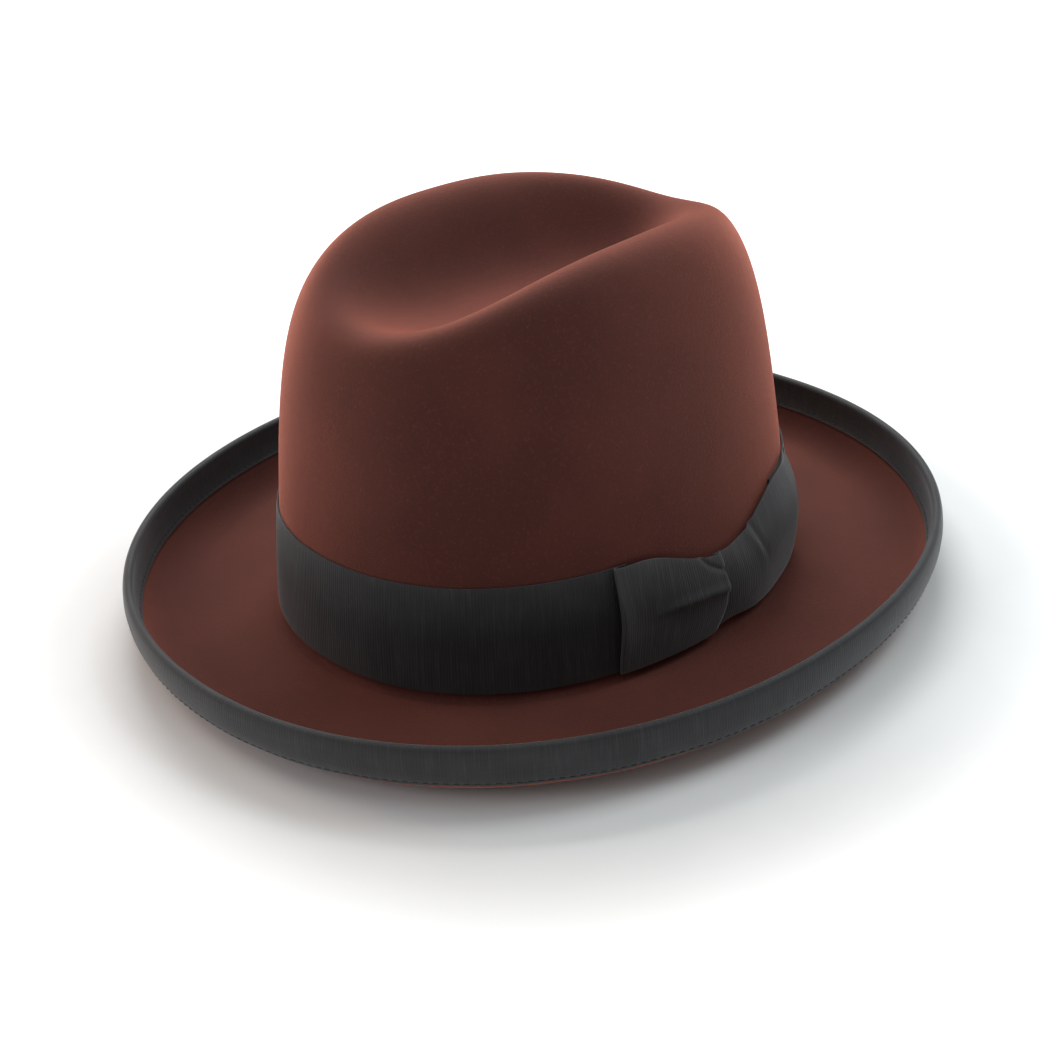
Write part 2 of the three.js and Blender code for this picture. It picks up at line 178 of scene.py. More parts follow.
# Each light's azimuth and elevation in degrees, distance, size, power and colour.
LIGHTS = {
    "back_box": (230, 44, 1.5, (1.1, 0.9), 17.5, (0.98, 1.0, 1.0)),
    "top_box": (0, 82, 2.0, (1.6, 1.6), 6.0, WHITE),
    "left_box": (-68, 30, 1.3, (0.5, 0.9), 3.5, (1.0, 0.73, 0.56)),
    "right_box": (150, 48, 1.3, (0.5, 0.7), 4.8, (0.88, 0.98, 1.0)),
    "front_box": (-14, 28, 1.4, (0.5, 0.5), 2.6, WHITE),
}


def signed_power(value, power):
    return np.sign(value) * np.abs(value) ** power


def ease(value):
    """A smooth step from 0 to 1 over the values from 0 to 1."""
    value = np.clip(value, 0, 1)
    return value * value * (3 - 2 * value)


def unit(vectors):
    return vectors / np.linalg.norm(vectors, axis=-1, keepdims=True)


def fade(value):
    """A smooth step from 0 to 1 that is halfway at 0 and has no ends."""
    return 0.5 * (1 + np.tanh(value))


def bell(value, width):
    return np.exp(-((value / width) ** 2))


def direction(angle):
    """The oval's point at an angle round the hat, for half axes of 1, and the true oval's normal there."""
    x = signed_power(np.cos(angle), 2 / OVAL_POWER)
    y = signed_power(np.sin(angle), 2 / OVAL_POWER)
    normal_x = signed_power(x, OVAL_POWER - 1) / HALF_WIDTH
    normal_y = signed_power(y, OVAL_POWER - 1) / HALF_LENGTH
    size = np.hypot(normal_x, normal_y)
    return x, y, normal_x / size, normal_y / size


def point(x, y, z):
    return np.stack(np.broadcast_arrays(x, y, z), -1)


def shoulder_power(angle):
    """How square the crown's shoulder is in section, at its sides, front or back."""
    y = np.sin(angle)
    end = np.where(y > 0, POWER_BACK, POWER_FRONT)
    return POWER_SIDE + (end - POWER_SIDE) * y * y


def wall(angle, height, out=0.0):
    """A point `out` from the crown's outer face at a height."""
    x, y, normal_x, normal_y = direction(angle)
    share = np.maximum(height - CROWN_FOOT, 0) / CROWN_HEIGHT
    power = shoulder_power(angle)
    reach = (1 - share**power) ** (1 / power) * (1 - CROWN_TAPER * share)
    return point(
        HALF_WIDTH * reach * x + out * normal_x,
        HALF_LENGTH * reach * y + out * normal_y,
        height,
    )


def dent(x, y):
    """How far the crown's top is pressed down at a place."""
    width = DENT_HALF_WIDTH - DENT_NARROWING * y
    along = fade((y - DENT_FRONT) / DENT_FRONT_FADE) * fade((DENT_BACK - y) / DENT_BACK_FADE)
    pressed = DENT_DEPTH * along * bell(x, width)
    return pressed / (1 + (pressed / DENT_FLOOR) ** 4) ** 0.25


def crown(angle, lift):
    """The crown's outer face: lift goes from 0 at its foot to 1 at the top."""
    x, y, _, _ = direction(angle)
    power = shoulder_power(angle)
    turn = math.pi / 2 * ease(lift)
    share = np.sin(turn) ** (2 / power)
    reach = np.maximum(np.cos(turn), 0) ** (2 / power) * (1 - CROWN_TAPER * share)
    across, along = HALF_WIDTH * reach * x, HALF_LENGTH * reach * y
    domed = CROWN_HEIGHT * share * (1 + CROWN_TILT * along / HALF_LENGTH)
    return point(across, along, CROWN_FOOT + domed - dent(across, along) * share**2)


def crown_inside(angle, lift):
    """The crown's inner face, a felt's thickness in from the outer one."""
    step = 0.002
    at = np.minimum(lift, 1 - step)
    round_it = crown(angle + step, at) - crown(angle - step, at)
    up = crown(angle, at + step) - crown(angle, np.maximum(at - step, 0))
    normal = np.cross(round_it, up)
    return crown(angle, lift) - FELT * normal / np.linalg.norm(normal, axis=-1, keepdims=True)


# The brim's section: its slope, reach and height after going a length along it from the crown.
SECTION_STEPS = 400
section_along = np.linspace(0, BRIM_WIDTH, SECTION_STEPS)
section_curled = np.maximum(section_along - BRIM_FLAT, 0) / (BRIM_WIDTH - BRIM_FLAT)
section_slope = CURL_ANGLE * section_curled**CURL_POWER
section_step = BRIM_WIDTH / (SECTION_STEPS - 1)
section_out = np.concatenate([[0], np.cumsum(np.cos(section_slope[1:]))]) * section_step
section_height = np.concatenate([[0], np.cumsum(np.sin(section_slope[1:]))]) * section_step


def brim(angle, along, above=0.0, beyond=0.0):
    """A point `above` the brim's upper face after going `along` it, and `beyond` that the way it slopes."""
    x, y, normal_x, normal_y = direction(angle)
    slope = np.interp(along, section_along, section_slope)
    out = np.interp(along, section_along, section_out)
    height = np.interp(along, section_along, section_height)
    fullness = 1 + SIDE_FULLNESS * normal_x**2 + END_FULLNESS * normal_y**2
    reach = out * fullness - above * np.sin(slope) + beyond * np.cos(slope)
    lifted = height * (1 + SIDE_LIFT * np.cos(2 * angle))
    return point(
        HALF_WIDTH * x + reach * normal_x,
        HALF_LENGTH * y + reach * normal_y,
        FELT + lifted + above * np.cos(slope) + beyond * np.sin(slope),
    )


def break_corner(angle, turn, above=0.0):
    """The rounded corner between brim and crown: turn goes from 0 at the crown's foot to 1 at the brim."""
    x, y, normal_x, normal_y = direction(angle)
    radius = BREAK_RADIUS - above
    reach = BREAK_RADIUS - radius * np.cos(turn * math.pi / 2)
    height = FELT + BREAK_RADIUS - radius * np.sin(turn * math.pi / 2)
    return point(HALF_WIDTH * x + reach * normal_x, HALF_LENGTH * y + reach * normal_y, height)


def even_angles(route, count, start=0.0, end=2 * math.pi, closed=True):
    """Angles that cut a route round the hat into equal lengths, and the lengths gone at each."""
    fine = np.linspace(start, end, ROUTE_STEPS)
    steps = np.linalg.norm(np.diff(route(fine), axis=0), axis=1)
    gone = np.concatenate([[0], np.cumsum(steps)])
    wanted = np.linspace(0, gone[-1], count + 1)
    if closed:
        wanted = wanted[:-1]
    return np.interp(wanted, gone, fine), wanted


def route_length(route, start=0.0, end=2 * math.pi):
    steps = np.diff(route(np.linspace(start, end, ROUTE_STEPS)), axis=0)
    return np.linalg.norm(steps, axis=1).sum()


class Mesh:
    """Collects grids of points as one mesh, with a weave's lengths and at each point how worn it is, which on
    ribbed cloth also carries painted light and shade on the ribs.
    """

    def __init__(self):
        self.points, self.faces, self.lengths, self.wear = [], [], [], []
        self.count = 0

    def grid(self, points, wrapped=False, flip=False, along=0.0, across=0.0, wear=0.0):
        """Adds points[row, column]; seen from in front, rows go up and columns go right."""
        rows, columns = points.shape[:2]
        index = np.arange(rows * columns).reshape(rows, columns) + self.count
        along, across, wear = (np.broadcast_to(value, (rows, columns)) for value in (along, across, wear))
        self.points.append(points.reshape(-1, 3))
        self.wear.append(wear.reshape(-1))
        self.count += rows * columns
        if wrapped:
            index = np.concatenate([index, index[:, :1]], axis=1)
            step = along[:, -1:] - along[:, -2:-1]
            along = np.concatenate([along, along[:, -1:] + step], axis=1)
            across = np.concatenate([across, across[:, :1]], axis=1)
        corners = [(0, 0), (0, 1), (1, 1), (1, 0)]
        if flip:
            corners.reverse()
        height, width = index.shape[0] - 1, index.shape[1] - 1

        def pick(array):
            found = [array[i : i + height, j : j + width] for i, j in corners]
            return np.stack(found, -1).reshape(-1, 4)

        self.faces.append(pick(index))
        self.lengths.append(np.stack([pick(along), pick(across)], -1))
        return index

    def join(self, first, second):
        """Joins two rows of points that are already in the mesh."""
        faces = np.stack([first[:-1], first[1:], second[1:], second[:-1]], -1)
        self.faces.append(faces)
        self.lengths.append(np.zeros((len(faces), 4, 2)))

    def sheet(self, front, back, wrapped=False, domed=False, **lengths):
        """A closed sheet between two faces."""
        a = self.grid(front, wrapped, False, **lengths)
        b = self.grid(back, wrapped, True, **lengths)
        if not domed:
            self.join(b[0], a[0])
        self.join(a[-1], b[-1])
        if not wrapped:
            self.join(a[:, 0], b[:, 0])
            self.join(b[:, -1], a[:, -1])

    def tube(self, centres, radius, sides, closed=True, bumps=None):
        """A round cord along a row of points. `bumps` gives its surface's height at a turn and a length."""
        if closed:
            forward = np.roll(centres, -1, 0) - np.roll(centres, 1, 0)
        else:
            forward = np.gradient(centres, axis=0)
        forward = unit(forward)
        side = unit(np.cross(forward, [0.0, 0.0, 1.0]))
        over = np.cross(side, forward)
        steps = np.linalg.norm(np.diff(centres, axis=0), axis=1)
        gone = np.concatenate([[0], np.cumsum(steps)])[:, None]
        turns = -np.linspace(0, 2 * math.pi, sides, endpoint=False)[None, :]
        reach = radius + (bumps(turns, gone) if bumps else 0.0 * gone * turns)
        if not closed:
            reach[0] = reach[-1] = 0
        ring = np.cos(turns)[..., None] * side[:, None] + np.sin(turns)[..., None] * over[:, None]
        points = centres[:, None] + reach[..., None] * ring
        index = self.grid(points, True, along=gone, across=turns * radius)
        if closed:
            self.join(index[-1], index[0])

    def build(self, name, material):
        faces = np.concatenate(self.faces)
        mesh = bpy.data.meshes.new(name)
        mesh.vertices.add(self.count)
        mesh.vertices.foreach_set("co", np.concatenate(self.points).astype(np.float32).ravel())
        mesh.loops.add(faces.size)
        mesh.loops.foreach_set("vertex_index", faces.ravel().astype(np.int32))
        mesh.polygons.add(len(faces))
        mesh.polygons.foreach_set("loop_start", np.arange(0, faces.size, 4, dtype=np.int32))
        mesh.polygons.foreach_set("use_smooth", np.ones(len(faces), dtype=bool))
        layer = mesh.uv_layers.new(name="cloth")
        layer.data.foreach_set("uv", np.concatenate(self.lengths).astype(np.float32).ravel())
        worn = mesh.attributes.new("wear", "FLOAT", "POINT")
        worn.data.foreach_set("value", np.concatenate(self.wear).astype(np.float32))
        mesh.update(calc_edges=True)
        mesh.set_sharp_from_angle(angle=CREASE_ANGLE)
        mesh.materials.append(material)
        piece = bpy.data.objects.new(name, mesh)
        bpy.context.scene.collection.objects.link(piece)
        return piece


def weld(piece):
    """Merges points that lie together, such as the middle of a domed grid, and drops faces that close up."""
    bpy.context.view_layer.objects.active = piece
    change = piece.modifiers.new("weld", "WELD")
    change.merge_threshold = WELD_DISTANCE
    with bpy.context.temp_override(object=piece, active_object=piece, selected_objects=[piece]):
        bpy.ops.object.modifier_apply(modifier=change.name)


class Surface:
    """A material under construction: its Principled shader and a short way to add nodes."""

    def __init__(self, name):
        self.material = bpy.data.materials.new(name)
        self.material.use_nodes = True
        self.tree = self.material.node_tree
        self.shader = self.tree.nodes["Principled BSDF"]

    def node(self, kind, inputs=(), **settings):
        added = self.tree.nodes.new("ShaderNode" + kind)
        for key, value in settings.items():
            setattr(added, key, value)
        for key, value in dict(inputs).items():
            self.give(added.inputs[key], value)
        return added

    def give(self, socket, value):
        if isinstance(value, bpy.types.NodeSocket):
            self.tree.links.new(value, socket)
        else:
            socket.default_value = value

    def set(self, **values):
        for key, value in values.items():
            self.give(self.shader.inputs[key.replace("_", " ")], value)

    def place(self):
        return self.node("TexCoord").outputs["Object"]

    def cloth(self):
        """The lengths along and across a piece of cloth, in metres."""
        return self.node("UVMap", uv_map="cloth").outputs["UV"]

    def noise(self, where, scale, detail, roughness=0.55, distortion=0.0):
        inputs = {"Vector": where, "Scale": scale, "Detail": detail}
        inputs.update({"Roughness": roughness, "Distortion": distortion})
        return self.node("TexNoise", inputs).outputs["Fac"]

    def stretch(self, where, scale):
        return self.node("Mapping", {"Vector": where, "Scale": scale}).outputs["Vector"]

    def math(self, operation, first, second=0.0):
        return self.node("Math", {0: first, 1: second}, operation=operation).outputs[0]

    def ramp(self, value, low, high, to_low=0.0, to_high=1.0):
        inputs = {"Value": value, "From Min": low, "From Max": high, "To Min": to_low, "To Max": to_high}
        return self.node("MapRange", inputs, clamp=True, interpolation_type="SMOOTHSTEP").outputs[0]

    def mix(self, share, first, second):
        """Mixes two colours. The node's sockets repeat their names, so they are given by number."""
        return self.node("Mix", {0: share, 6: first, 7: second}, data_type="RGBA").outputs[2]

    def bump(self, height, strength, distance, normal=None):
        inputs = {"Height": height, "Strength": strength, "Distance": distance}
        if normal:
            inputs["Normal"] = normal
        return self.node("Bump", inputs).outputs["Normal"]

    def wear(self):
        return self.node("Attribute", attribute_name="wear").outputs["Fac"]


def felt_material():
    """Fur felt: clouded dye, a fine mottle and short bright hairs, with a bloom of nap seen edge on."""
    s = Surface("fur_felt")
    where = s.place()
    cloudy = s.noise(where, 22, 2.0)
    mottle = s.noise(where, 900, 4.0, 0.75)
    fibres = s.noise(s.stretch(where, (1.0, 1.0, 0.5)), 3000, 3.0, 0.65, 0.6)
    deep, mid = (0.054, 0.0152, 0.0118, 1), (0.070, 0.0190, 0.0145, 1)
    bright = (0.150, 0.044, 0.032, 1)
    base = s.mix(s.ramp(cloudy, 0.35, 0.65), deep, mid)
    speckled = s.mix(s.ramp(mottle, 0.5, 0.72, 0.0, 0.42), base, bright)
    flecked = s.mix(s.ramp(fibres, 0.58, 0.8, 0.0, 0.5), speckled, bright)
    worn = s.mix(s.math("MULTIPLY", s.wear(), 0.5), flecked, bright)
    rough = s.ramp(mottle, 0.3, 0.7, 0.86, 0.98)
    soft = s.bump(mottle, 0.2, 0.0004)
    nap = s.bump(fibres, 0.6, 0.0002, soft)
    s.set(Base_Color=worn, Roughness=rough, Normal=nap)
    s.set(Sheen_Weight=1.0, Sheen_Roughness=0.42, Sheen_Tint=(1.0, 0.34, 0.245, 1))
    s.set(Specular_IOR_Level=0.24)
    return s.material


def grosgrain_material(name, dark, light):
    """Ribbed ribbon: fine warp threads, with a painted highlight on the ribs' crests and painted shade in
    their grooves, paler worn edges, slubs and faded clouds.
    """
    s = Surface(name)
    cloth = s.cloth()
    where = s.place()
    warp = s.noise(s.stretch(cloth, (60.0, 5200.0, 1.0)), 1.0, 2.0)
    slub = s.noise(s.stretch(cloth, (900.0, 60.0, 1.0)), 1.0, 2.0)
    cloudy = s.noise(where, 40, 2.0)
    # Painted light: the ribs' crests are painted lighter and their grooves darker, as light and shade fall on
    # them; the ribbon's edges are paler because they are worn.
    crest = s.ramp(s.wear(), 0.2, 1.0)
    thread = s.mix(s.ramp(warp, 0.3, 0.75), dark, light)
    ribbed = s.mix(s.math("MULTIPLY", crest, 0.55), dark, thread)
    uneven = s.mix(s.ramp(slub, 0.45, 0.8, 0.0, 0.4), ribbed, light)
    faded = s.mix(s.ramp(cloudy, 0.4, 0.75, 0.0, 0.25), uneven, light)
    rough = s.ramp(warp, 0.2, 0.8, 0.55, 0.78)
    bump = s.bump(warp, 0.35, 0.0001)
    s.set(Base_Color=faded, Roughness=rough, Normal=s.bump(slub, 0.2, 0.0001, bump))
    s.set(Sheen_Weight=0.35, Sheen_Roughness=0.4, Sheen_Tint=(0.95, 0.97, 1.0, 1))
    s.set(Specular_IOR_Level=0.42)
    return s.material


def thread_material(name, dark, light):
    s = Surface(name)
    twist = s.noise(s.place(), 5200, 2.0)
    color = s.mix(s.ramp(twist, 0.35, 0.7), dark, light)
    s.set(Base_Color=color, Roughness=s.ramp(twist, 0.3, 0.7, 0.35, 0.6), Normal=s.bump(twist, 0.4, 0.0001))
    s.set(Specular_IOR_Level=0.5)
    return s.material


def leather_material():
    """Thin grained leather, paler where it is worn along its edges."""
    s = Surface("roan_leather")
    where = s.place()
    cells = {"Vector": where, "Scale": 780.0, "Randomness": 1.0}
    grain = s.node("TexVoronoi", cells).outputs["Distance"]
    pores = s.noise(where, 1500, 2.0)
    cloudy = s.noise(where, 30, 3.0)
    color = s.mix(s.ramp(cloudy, 0.35, 0.7), (0.085, 0.036, 0.018, 1), (0.17, 0.08, 0.042, 1))
    pitted = s.mix(s.ramp(grain, 0.1, 0.5, 0.35, 0.0), color, (0.04, 0.016, 0.008, 1))
    worn = s.mix(s.math("MULTIPLY", s.wear(), 0.7), pitted, (0.26, 0.14, 0.08, 1))
    rough = s.ramp(grain, 0.1, 0.6, 0.5, 0.36)
    normal = s.bump(pores, 0.15, 0.0002, s.bump(grain, 0.35, 0.0003))
    s.set(Base_Color=worn, Roughness=rough, Normal=normal)
    s.set(Specular_IOR_Level=0.45, Coat_Weight=0.12, Coat_Roughness=0.35)
    return s.material


def satin_material():
    """Satin: long floats along its length that catch the light."""
    s = Surface("lining_satin")
    cloth = s.cloth()
    floats = s.noise(s.stretch(cloth, (7000.0, 500.0, 1.0)), 1.0, 2.0)
    cloudy = s.noise(s.place(), 30, 2.0)
    color = s.mix(s.ramp(floats, 0.3, 0.7), (0.30, 0.18, 0.105, 1), (0.40, 0.26, 0.16, 1))
    shaded = s.mix(s.ramp(cloudy, 0.35, 0.7, 0.0, 0.35), color, (0.24, 0.135, 0.075, 1))
    rough = s.ramp(floats, 0.2, 0.8, 0.3, 0.42)
    s.set(Base_Color=shaded, Roughness=rough, Normal=s.bump(floats, 0.12, 0.0001))
    s.set(Specular_IOR_Level=0.6, Sheen_Weight=0.25, Sheen_Roughness=0.3, Sheen_Tint=(1.0, 0.9, 0.8, 1))
    return s.material


def clear_material():
    """A clear sheet, slightly hazed and wavy."""
    s = Surface("clear_sheet")
    haze = s.noise(s.place(), 60, 3.0)
    s.set(Base_Color=(0.96, 0.95, 0.92, 1), Roughness=s.ramp(haze, 0.3, 0.7, 0.06, 0.16), Alpha=0.22)
    s.set(Normal=s.bump(s.noise(s.place(), 18, 1.0), 0.25, 0.002), Specular_IOR_Level=0.6)
    return s.material


def plastic_material():
    s = Surface("reed_plastic")
    cloudy = s.noise(s.place(), 90, 3.0)
    color = s.mix(s.ramp(cloudy, 0.35, 0.7), (0.55, 0.52, 0.43, 1), (0.68, 0.66, 0.58, 1))
    s.set(Base_Color=color, Roughness=s.ramp(cloudy, 0.3, 0.7, 0.35, 0.5), Normal=s.bump(cloudy, 0.1, 0.0002))
    return s.material


def paper_material():
    s = Surface("ticket_paper")
    pulp = s.noise(s.place(), 900, 4.0)
    color = s.mix(s.ramp(pulp, 0.35, 0.7), (0.66, 0.62, 0.52, 1), (0.78, 0.75, 0.68, 1))
    s.set(Base_Color=color, Roughness=s.ramp(pulp, 0.3, 0.7, 0.8, 0.95), Normal=s.bump(pulp, 0.3, 0.0001))
    return s.material


felt_look = felt_material()
ribbon_look = grosgrain_material("grosgrain", (0.0125, 0.0126, 0.0140, 1), (0.047, 0.0475, 0.051, 1))
thread_look = thread_material("black_thread", (0.006, 0.006, 0.007, 1), (0.05, 0.05, 0.055, 1))
leather_look = leather_material()
satin_look = satin_material()
clear_look = clear_material()
plastic_look = plastic_material()
paper_look = paper_material()
# Painted light: the bow is the band's grosgrain given paler colours, so that its wings look more lit than the
# band.
wing_painted_light_look = grosgrain_material("bow_grosgrain_painted_lighter", (0.032, 0.031, 0.033, 1), (0.100, 0.097, 0.101, 1))
tape_look = grosgrain_material("tape_cotton", (0.02, 0.018, 0.017, 1), (0.06, 0.055, 0.05, 1))
waxed_look = thread_material("waxed_thread", (0.32, 0.24, 0.15, 1), (0.5, 0.4, 0.28, 1))
piping_look = thread_material("piping_silk", (0.2, 0.11, 0.06, 1), (0.36, 0.22, 0.13, 1))


def hand_made(points, size):
    """Slow waves that keep a blocked felt from looking turned on a lathe."""
    x, y, z = points[..., 0], points[..., 1], points[..., 2]
    waves = np.sin(41 * x + 23 * z + 0.7) + np.sin(-29 * x + 37 * y + 2.1) + np.sin(31 * y - 43 * z + 4.0)
    return size * waves / 3


def felt_piece():
    """Crown and brim in one shell: down the crown, round the break at its foot and out along the brim."""
    angles = np.linspace(0, 2 * math.pi, FELT_COLUMNS, endpoint=False)[::-1][None, :]
    lifts = np.linspace(1, 0, 131)[:, None]
    turns = np.linspace(0, 1, 8)[1:, None]
    flat = np.linspace(0, 1, 12)[1:] * (BRIM_FLAT - BREAK_RADIUS) + BREAK_RADIUS
    curl = np.linspace(BRIM_FLAT, BRIM_WIDTH, 30)[1:]
    alongs = np.concatenate([flat, curl])[:, None]

    def face(dome, above):
        parts = [dome(angles, lifts), break_corner(angles, turns, above), brim(angles, alongs, above)]
        return np.concatenate(parts)

    outer, inner = face(crown, 0.0), face(crown_inside, -FELT)
    height = outer[..., 2:3]
    wave = hand_made(outer, 0.35 * MM)[..., None] * ease((height - BAND_TOP) / (40 * MM))
    outer[..., 2:3] += wave
    inner[..., 2:3] += wave
    shell = Mesh()
    shell.sheet(outer, inner, wrapped=True, domed=True)
    piece = shell.build("felt_hat_body", felt_look)
    weld(piece)
    return piece


def ribs(length):
    """Grosgrain's ribs along its length, 0 in a groove and 1 on a crest."""
    return 0.5 + 0.5 * np.cos(2 * math.pi * length / RIB_PITCH)


def lengths_along(points):
    """The length gone at each column along the middle row of a grid."""
    middle = points[points.shape[0] // 2]
    return np.concatenate([[0], np.cumsum(np.linalg.norm(np.diff(middle, axis=0), axis=1))])


def cloth_sheet(name, centre, thickness, material, wrapped=False, ribbed=False):
    """A closed sheet round a grid of points. A ribbon's ribs are on both faces and flatten at its edges."""
    if wrapped:
        right = np.roll(centre, -1, 1) - np.roll(centre, 1, 1)
    else:
        right = np.gradient(centre, axis=1)
    normal = unit(np.cross(right, np.gradient(centre, axis=0)))
    gone = lengths_along(centre)
    if wrapped:
        whole = gone[-1] + np.linalg.norm(centre[len(centre) // 2, -1] - centre[len(centre) // 2, 0])
        gone = gone * (round(whole / RIB_PITCH) * RIB_PITCH / whole)
    lengths_along(centre.swapaxes(0, 1))[-1]
    raised = ribs(gone)[None, :] if ribbed else np.zeros((1, centre.shape[1]))
    row_steps = np.linalg.norm(np.diff(centre[:, 0], axis=0), axis=1)
    across = np.concatenate([[0], np.cumsum(row_steps)])[:, None]
    inset = np.minimum(across, across[-1] - across)
    edge = np.exp(-inset / ((0.6 if ribbed else 1.2) * MM))
    half = thickness / 2 + RIB_HEIGHT * raised * (1 - 0.8 * edge)
    # Painted light: ribbed cloth gets this share mostly on the ribs' crests, so it is painted lighter there
    # and darker in the grooves; near the edges it marks worn cloth.
    wear = np.clip(0.75 * raised + 0.6 * edge, 0, 1) * np.ones(centre.shape[:2])
    cloth = Mesh()
    lengths = dict(along=gone[None, :], across=across, wear=wear)
    cloth.sheet(centre + half[..., None] * normal, centre - half[..., None] * normal, wrapped, **lengths)
    return cloth.build(name, material)


def rib_count(route, start=0.0, end=2 * math.pi):
    return round(route_length(route, start, end) / RIB_PITCH)


def even_shares(rows, edge):
    """Rows across a ribbon: evenly spaced, with one more close to each edge."""
    return np.concatenate([[0, edge], np.linspace(0, 1, rows)[1:-1], [1 - edge, 1]])[:, None]


def binding_piece():
    """The ribbon folded over the brim's edge, drawn in a little by each stitch."""

    def route(angles):
        return brim(angles, BRIM_WIDTH - BINDING_WIDTH / 3)

    angles, gone = even_angles(route, BINDING_RIB_COLUMNS * rib_count(route))
    reach = BRIM_WIDTH - BINDING_WIDTH
    shares = np.array([0, 0.03, 0.08, 0.125, 0.17, 0.25, 0.45, 0.7, 0.88, 1.0])
    stitches = 0.5 + 0.5 * np.cos(2 * math.pi * gone / STITCH_PITCH)
    middle = BINDING_LIE + BINDING_THICK / 2

    def face(share, side):
        from_edge = share * BINDING_WIDTH
        pull = np.exp(-(((from_edge - STITCH_INSET) / (0.6 * MM)) ** 2)) * (0.08 + 0.08 * stitches) * MM
        ripple = 0.06 * MM * np.sin(gone * 190 + 2 * side) * math.exp(-from_edge / (2 * MM))
        out = middle - pull + ripple
        return brim(angles, reach + from_edge, out if side > 0 else -FELT - out)

    def turn(angle):
        radius = FELT / 2 + middle
        return brim(angles, BRIM_WIDTH, -FELT / 2 + radius * math.sin(angle), radius * math.cos(angle))

    outer = [face(share, -1) for share in shares]
    over = [turn(angle) for angle in np.radians(np.linspace(-90, 90, 9))[1:-1]]
    inner = [face(share, 1) for share in shares[::-1]]
    centre = np.stack(outer + over + inner)
    return cloth_sheet("brim_binding_ribbon", centre, BINDING_THICK, ribbon_look, wrapped=True, ribbed=True)


def stitch_row(name, starts, ends, normals, material):
    """Short stitches, each a thread that bends into the cloth at both its ends."""
    share = np.linspace(0, 1, 7)[:, None]
    lift = np.sin(math.pi * share) ** 0.6 * (STITCH_RISE + THREAD_RADIUS) - THREAD_RADIUS
    row = Mesh()
    for start, end, normal in zip(starts, ends, normals):
        row.tube(start + (end - start) * share + normal * lift, THREAD_RADIUS, 6, closed=False)
    piece = row.build(name, material)
    weld(piece)
    return piece


def binding_stitches(name, side):
    """The seam near the binding's edge, on its outer face for side -1 and on its inner face for side 1."""
    along = BRIM_WIDTH - BINDING_WIDTH + STITCH_INSET
    lift = BINDING_LIE + BINDING_THICK + 0.02 * MM
    above = lift if side > 0 else -FELT - lift

    def route(angles):
        return brim(angles, along, above)

    starts, _ = even_angles(route, round(route_length(route) / STITCH_PITCH))
    step = np.diff(np.append(starts, starts[0] + 2 * math.pi))
    middles = starts + STITCH_SHARE * step / 2
    normals = unit(brim(middles, along, above + side * MM) - route(middles))
    return stitch_row(name, route(starts), route(starts + STITCH_SHARE * step), normals, thread_look)


def crown_strip(name, start, end, low, high, out, thickness, ribbed=True, material=ribbon_look):
    """A strip that hugs the crown between two angles; `out` gives its middle's distance from the felt."""

    def route(angles):
        return wall(angles, (low + high) / 2)

    columns = BAND_RIB_COLUMNS * max(rib_count(route, start, end), 4)
    angles, _ = even_angles(route, columns, start, end, closed=False)
    shares = even_shares(BAND_ROWS, 0.012)
    heights = low + (high - low) * shares
    centre = wall(angles[None, :], heights, out(angles[None, :], shares))
    return cloth_sheet(name, centre, thickness, material, ribbed=ribbed)


def band_piece():
    """One length of ribbon round the crown, slightly slack between its edges."""

    def out(angles, shares):
        slack = 0.16 * MM * (1 + np.sin(9 * angles + 1.2)) * np.sin(math.pi * shares)
        return GAP + 0.3 * MM + slack

    start, end = math.radians(BAND_BACK_END), math.radians(BAND_FRONT_END + 360)
    return crown_strip("band_grosgrain", start, end, BAND_FOOT, BAND_TOP, out, BAND_THICK)


def near_knot(degrees, reach):
    """1 at the bow's middle and 0 at `reach` degrees away."""
    return ease(1 - np.abs(degrees - BOW_MIDDLE) / reach)


def distance_to(route, x, y):
    """The distance from points to a chain of straight lines."""
    best = np.full(np.broadcast(x, y).shape, np.inf)
    for (ax, ay), (bx, by) in zip(route[:-1], route[1:]):
        share = ((x - ax) * (bx - ax) + (y - ay) * (by - ay)) / ((bx - ax) ** 2 + (by - ay) ** 2)
        share = np.clip(share, 0, 1)
        best = np.minimum(best, np.hypot(x - ax - share * (bx - ax), y - ay - share * (by - ay)))
    return best


def wing_height(degrees, shares, widens):
    """The ribbon is drawn in at the knot, mostly from above; at its full width it just covers the band."""
    rise = 1.6 * MM * near_knot(degrees, 7)
    spare = np.where(degrees > BOW_MIDDLE, 1.1, 0.3) * MM * (1 - near_knot(degrees, widens))
    width = BAND_WIDTH + spare - WING_PINCH * near_knot(degrees, widens) - rise
    return BAND_FOOT + rise + width * shares


def roll_line(height):
    """The degrees where the front wing rolls under by the knot: upright, but further forward at its foot."""
    return 2.7 - 2.2 * ease((16.5 * MM - height) / (11 * MM)) - 0.2 * ease((height - 27 * MM) / (7 * MM))


def front_shape(degrees, height, shares):
    """How far the front wing's top layer stands off its fold, with a long pleat and a short tuck."""
    bulge = np.sin(math.pi * shares)
    pillow = 0.5 * MM * bulge
    stand = 1.7 * MM * near_knot(degrees, 24) * (0.25 + 0.75 * bulge**0.6)
    lip = 1.8 * MM * bell(degrees - FRONT_END, 2.6) * bulge**1.5
    ridge = 22.6 * MM - 0.35 * MM * np.maximum(degrees + 2, 0) + 1.0 * MM * bell(degrees + 9, 6)
    away = height - ridge
    growth = ease((degrees + 17) / 11)
    broad = 0.8 * bell(away, np.where(away > 0, 8.0, 3.2) * MM)
    narrow = 0.95 * bell(away, np.where(away > 0, 1.9, 0.9) * MM)
    crease = [(-3.4, 38.0), (-2.4, 34.9), (-1.2, 32.2), (0.4, 29.6), (2.6, 27.0)]
    crease = [(d * SIDE_DEGREE, z * MM) for d, z in crease]
    tuck = 0.8 * MM * bell(distance_to(crease, degrees * SIDE_DEGREE, height), 0.7 * MM)
    roll = 1.7 * MM * np.clip((degrees - roll_line(height) + 1.4) / 1.4, 0, 1) ** 2.2
    return pillow + stand + lip + growth * MM * (broad + narrow) - tuck - roll


